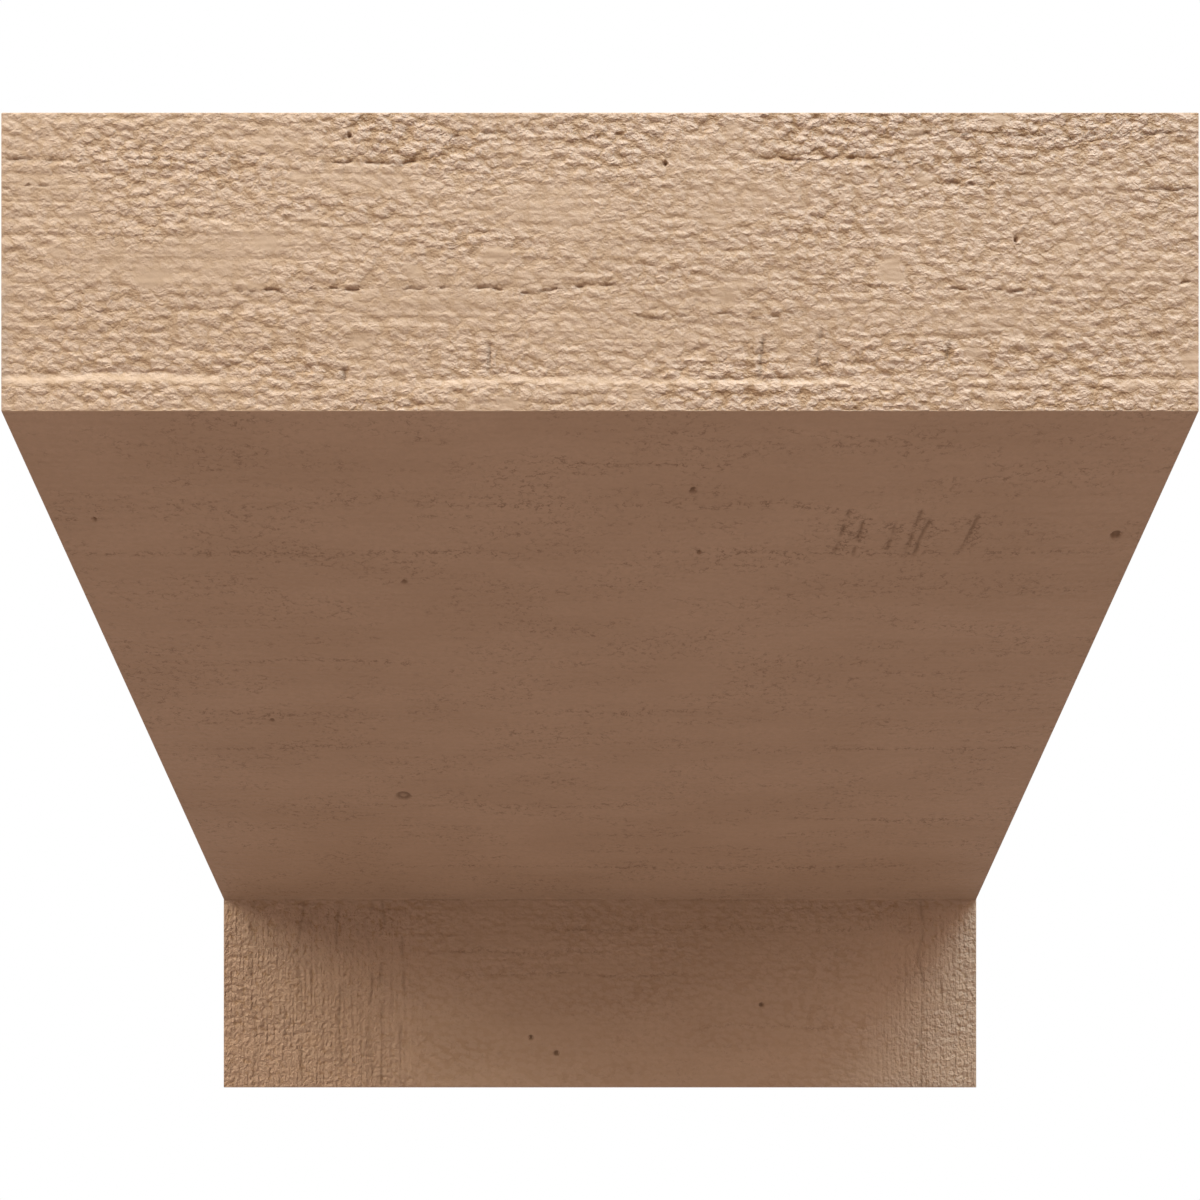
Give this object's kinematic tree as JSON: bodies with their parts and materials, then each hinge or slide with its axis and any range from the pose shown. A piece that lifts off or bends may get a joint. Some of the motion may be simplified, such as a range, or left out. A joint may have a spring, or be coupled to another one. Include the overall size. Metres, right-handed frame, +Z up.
{
  "type": "corbel",
  "caption": "Rough-sawn woodgrain corbel: a square block with a tall flat nose, a straight sloped underside and a short wall leg, for under a beam, shelf or eave.",
  "frame": {"origin": "centre of the flat wall face at the back", "axes": "+Y out of the wall face into the wall, so the nose points to -Y; +Z up, through the flat top that carries the load; +X along the width, to the right as the front is seen"},
  "size_m": [0.1524, 0.1524, 0.1524],
  "materials": {
    "primed_foam": "matt tan primer on rigid polyurethane foam cast with a rough-sawn woodgrain face"
  },
  "bodies": {
    "root": {"corbel": "primed_foam"}
  },
  "joints": []
}
